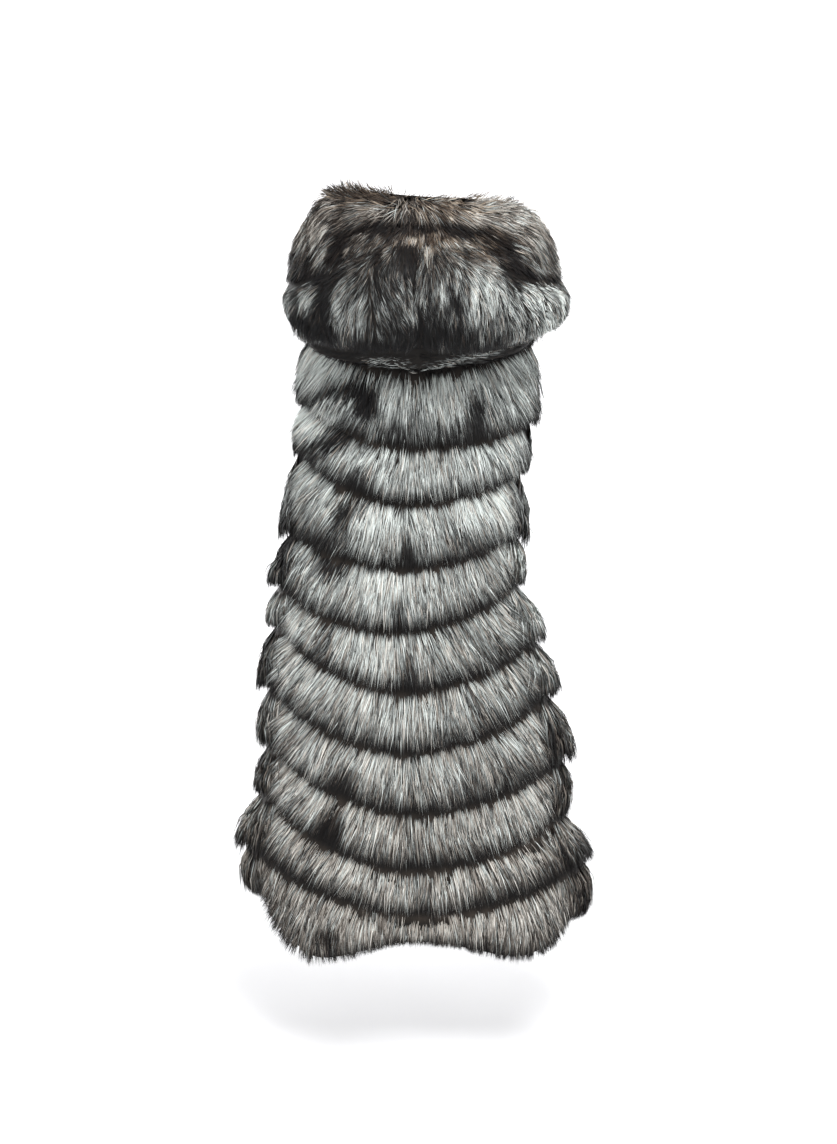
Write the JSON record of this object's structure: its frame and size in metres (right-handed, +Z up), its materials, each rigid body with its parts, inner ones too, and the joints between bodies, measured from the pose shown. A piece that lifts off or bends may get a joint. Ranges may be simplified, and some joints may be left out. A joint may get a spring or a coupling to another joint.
{
  "type": "hooded fur vest",
  "caption": "Long sleeveless fur vest with a hood lying on the back, shown worn and hollow, with its neck, armholes, front and hem open.",
  "frame": {"origin": "the nape: the middle of the back neckline of the vest as worn", "axes": "+Z up along the worn garment, +Y out of the wearer's back, +X towards the wearer's left"},
  "size_m": [0.6696, 0.4696, 1.3827],
  "materials": {
    "fur": "long silver fur, pale guard hairs over dark grey-brown underfur",
    "hood_fur": "long silver fur with a warmer brown cast",
    "lining": "smooth satin"
  },
  "bodies": {
    "root": {"back_strip_00": "fur", "back_strip_01": "fur", "back_strip_02": "fur", "back_strip_03": "fur", "back_strip_04": "fur", "back_strip_05": "fur", "back_strip_06": "fur", "back_strip_07": "fur", "back_strip_08": "fur", "back_strip_09": "fur", "back_strip_10": "fur", "left_front_strip_00": "fur", "left_front_strip_01": "fur", "left_front_strip_02": "fur", "left_front_strip_03": "fur", "left_front_strip_04": "fur", "left_front_strip_05": "fur", "left_front_strip_06": "fur", "left_front_strip_07": "fur", "left_front_strip_08": "fur", "left_front_strip_09": "fur", "left_front_strip_10": "fur", "right_front_strip_00": "fur", "right_front_strip_01": "fur", "right_front_strip_02": "fur", "right_front_strip_03": "fur", "right_front_strip_04": "fur", "right_front_strip_05": "fur", "right_front_strip_06": "fur", "right_front_strip_07": "fur", "right_front_strip_08": "fur", "right_front_strip_09": "fur", "right_front_strip_10": "fur", "back_lining": "lining", "left_front_lining": "lining", "right_front_lining": "lining", "hood_base": "hood_fur", "hood_crown_left": "hood_fur", "hood_crown_right": "hood_fur", "hood_side_left": "hood_fur", "hood_side_right": "hood_fur", "hood_trim_left": "hood_fur", "hood_trim_right": "hood_fur"}
  },
  "joints": []
}
